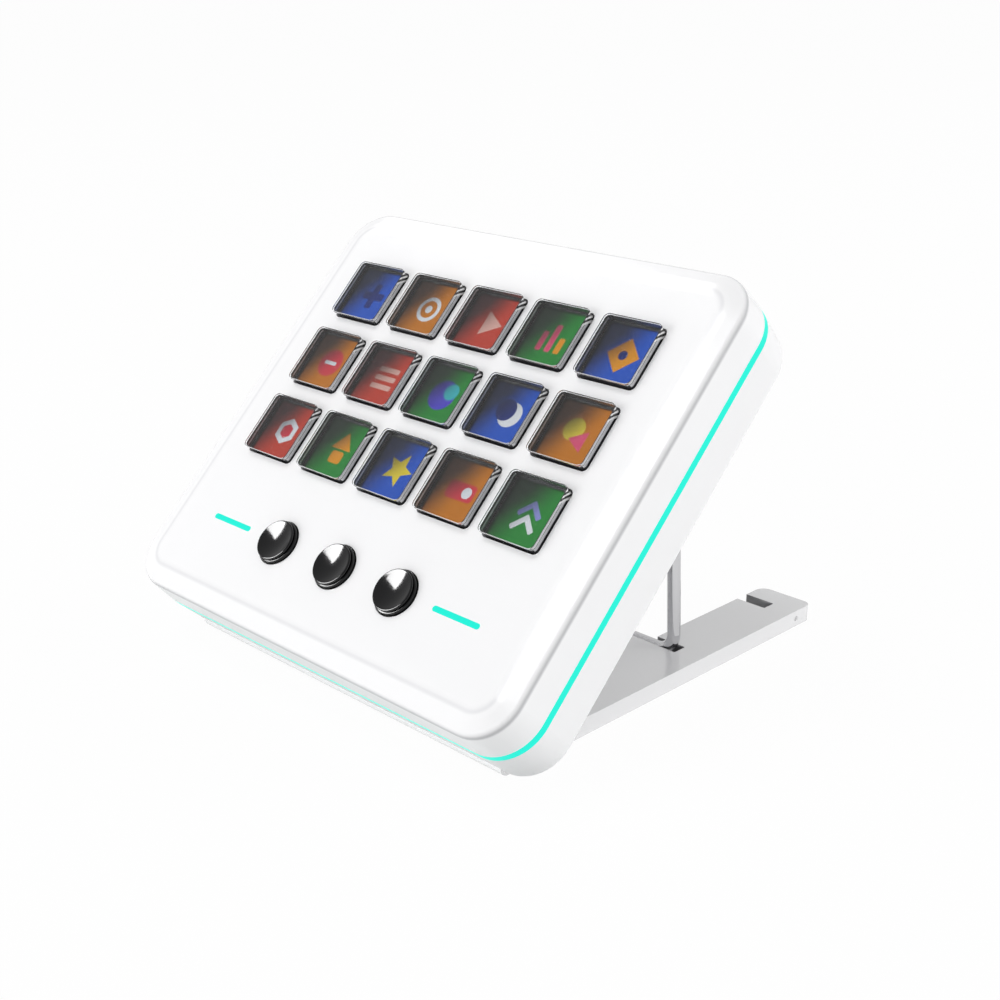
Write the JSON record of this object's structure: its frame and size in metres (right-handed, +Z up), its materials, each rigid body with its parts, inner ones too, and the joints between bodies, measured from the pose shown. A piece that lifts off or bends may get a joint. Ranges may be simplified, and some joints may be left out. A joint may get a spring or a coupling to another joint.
{
  "type": "macro keypad",
  "caption": "Desk keypad with a grid of clear picture keys over one screen, a row of push buttons, a cyan light line and a folding plate stand propped by a wire.",
  "frame": {"origin": "centre of the base rectangle of the whole object, at desk level, with the stand set up at 45 degrees", "axes": "+Z up, the sloping face looks towards -Y and up, +X to the user's right"},
  "size_m": [0.1204, 0.1174, 0.0898],
  "materials": {
    "white_shell": "satin white moulded plastic",
    "cyan_light": "diffusing light guide, lit",
    "black_plastic": "matte black moulded plastic",
    "silicone": "soft silicone",
    "board_green": "solder-masked board",
    "screen_glass": "screen glass, lit pictures",
    "screen_tray": "pressed backlight tray",
    "switch_black": "moulded switch case",
    "chip_black": "chip package",
    "led_white": "lamp package",
    "ribbon_amber": "ribbon film",
    "socket_steel": "drawn socket shell",
    "screw_steel": "zinc-plated steel",
    "stand_grey": "satin light grey moulded plastic",
    "pad_rubber": "rubber pad",
    "wire_chrome": "bright chrome wire",
    "clear_cap": "clear acrylic",
    "button_black": "gloss black moulded plastic"
  },
  "bodies": {
    "keypad": {"front_shell": "white_shell", "rear_shell": "white_shell", "light_ring": "cyan_light", "light_bar_left": "cyan_light", "light_bar_right": "cyan_light", "key_guide": "black_plastic", "key_mat": "silicone", "key_film": "board_green", "screen_panel": "screen_glass", "screen_backlight": "screen_tray", "screen_carrier": "black_plastic", "main_board": "board_green", "button_board": "board_green", "button_switches": "switch_black", "main_chips": "chip_black", "ring_leds": "led_white", "bar_leds": "led_white", "screen_ribbon": "ribbon_amber", "lead_socket": "socket_steel", "shell_screws": "screw_steel"},
    "key_r1c1": {"keycap_r1c1": "clear_cap"},
    "key_r1c2": {"keycap_r1c2": "clear_cap"},
    "key_r1c3": {"keycap_r1c3": "clear_cap"},
    "key_r1c4": {"keycap_r1c4": "clear_cap"},
    "key_r1c5": {"keycap_r1c5": "clear_cap"},
    "key_r2c1": {"keycap_r2c1": "clear_cap"},
    "key_r2c2": {"keycap_r2c2": "clear_cap"},
    "key_r2c3": {"keycap_r2c3": "clear_cap"},
    "key_r2c4": {"keycap_r2c4": "clear_cap"},
    "key_r2c5": {"keycap_r2c5": "clear_cap"},
    "key_r3c1": {"keycap_r3c1": "clear_cap"},
    "key_r3c2": {"keycap_r3c2": "clear_cap"},
    "key_r3c3": {"keycap_r3c3": "clear_cap"},
    "key_r3c4": {"keycap_r3c4": "clear_cap"},
    "key_r3c5": {"keycap_r3c5": "clear_cap"},
    "push_left": {"button_left": "button_black"},
    "push_middle": {"button_middle": "button_black"},
    "push_right": {"button_right": "button_black"},
    "stand": {"stand_plate": "stand_grey", "stand_pads": "pad_rubber", "hinge_pins": "screw_steel"},
    "prop": {"prop_wire": "wire_chrome"}
  },
  "joints": [
    {"name": "press_r1c1", "type": "slide", "parent": "keypad", "child": "key_r1c1", "axis": [0, 0.7071, -0.7071], "range_m": [0, 0.0012], "stiffness_N_per_m": 300, "springref_m": -0.001, "deforming": ["key_mat"]},
    {"name": "press_r1c2", "type": "slide", "parent": "keypad", "child": "key_r1c2", "axis": [0, 0.7071, -0.7071], "range_m": [0, 0.0012], "stiffness_N_per_m": 300, "springref_m": -0.001},
    {"name": "press_r1c3", "type": "slide", "parent": "keypad", "child": "key_r1c3", "axis": [0, 0.7071, -0.7071], "range_m": [0, 0.0012], "stiffness_N_per_m": 300, "springref_m": -0.001},
    {"name": "press_r1c4", "type": "slide", "parent": "keypad", "child": "key_r1c4", "axis": [0, 0.7071, -0.7071], "range_m": [0, 0.0012], "stiffness_N_per_m": 300, "springref_m": -0.001},
    {"name": "press_r1c5", "type": "slide", "parent": "keypad", "child": "key_r1c5", "axis": [0, 0.7071, -0.7071], "range_m": [0, 0.0012], "stiffness_N_per_m": 300, "springref_m": -0.001},
    {"name": "press_r2c1", "type": "slide", "parent": "keypad", "child": "key_r2c1", "axis": [0, 0.7071, -0.7071], "range_m": [0, 0.0012], "stiffness_N_per_m": 300, "springref_m": -0.001},
    {"name": "press_r2c2", "type": "slide", "parent": "keypad", "child": "key_r2c2", "axis": [0, 0.7071, -0.7071], "range_m": [0, 0.0012], "stiffness_N_per_m": 300, "springref_m": -0.001},
    {"name": "press_r2c3", "type": "slide", "parent": "keypad", "child": "key_r2c3", "axis": [0, 0.7071, -0.7071], "range_m": [0, 0.0012], "stiffness_N_per_m": 300, "springref_m": -0.001},
    {"name": "press_r2c4", "type": "slide", "parent": "keypad", "child": "key_r2c4", "axis": [0, 0.7071, -0.7071], "range_m": [0, 0.0012], "stiffness_N_per_m": 300, "springref_m": -0.001},
    {"name": "press_r2c5", "type": "slide", "parent": "keypad", "child": "key_r2c5", "axis": [0, 0.7071, -0.7071], "range_m": [0, 0.0012], "stiffness_N_per_m": 300, "springref_m": -0.001},
    {"name": "press_r3c1", "type": "slide", "parent": "keypad", "child": "key_r3c1", "axis": [0, 0.7071, -0.7071], "range_m": [0, 0.0012], "stiffness_N_per_m": 300, "springref_m": -0.001},
    {"name": "press_r3c2", "type": "slide", "parent": "keypad", "child": "key_r3c2", "axis": [0, 0.7071, -0.7071], "range_m": [0, 0.0012], "stiffness_N_per_m": 300, "springref_m": -0.001},
    {"name": "press_r3c3", "type": "slide", "parent": "keypad", "child": "key_r3c3", "axis": [0, 0.7071, -0.7071], "range_m": [0, 0.0012], "stiffness_N_per_m": 300, "springref_m": -0.001},
    {"name": "press_r3c4", "type": "slide", "parent": "keypad", "child": "key_r3c4", "axis": [0, 0.7071, -0.7071], "range_m": [0, 0.0012], "stiffness_N_per_m": 300, "springref_m": -0.001},
    {"name": "press_r3c5", "type": "slide", "parent": "keypad", "child": "key_r3c5", "axis": [0, 0.7071, -0.7071], "range_m": [0, 0.0012], "stiffness_N_per_m": 300, "springref_m": -0.001},
    {"name": "press_left", "type": "slide", "parent": "keypad", "child": "push_left", "axis": [0, 0.7071, -0.7071], "range_m": [0, 0.0006], "stiffness_N_per_m": 1000, "springref_m": -0.0006},
    {"name": "press_middle", "type": "slide", "parent": "keypad", "child": "push_middle", "axis": [0, 0.7071, -0.7071], "range_m": [0, 0.0006], "stiffness_N_per_m": 1000, "springref_m": -0.0006},
    {"name": "press_right", "type": "slide", "parent": "keypad", "child": "push_right", "axis": [0, 0.7071, -0.7071], "range_m": [0, 0.0006], "stiffness_N_per_m": 1000, "springref_m": -0.0006},
    {"name": "stand_fold", "type": "hinge", "parent": "keypad", "child": "stand", "pos_m": [0, -0.04457, 0.0024], "axis": [1, 0, 0], "range_deg": [0, 45]},
    {"name": "prop_fold", "type": "hinge", "parent": "stand", "child": "prop", "pos_m": [0, 0.01897, 0.004], "axis": [1, 0, 0], "range_deg": [-90, 0]}
  ],
  "couplings": [
    {"joint": "prop_fold", "follows": "stand_fold", "ratio": -2}
  ]
}
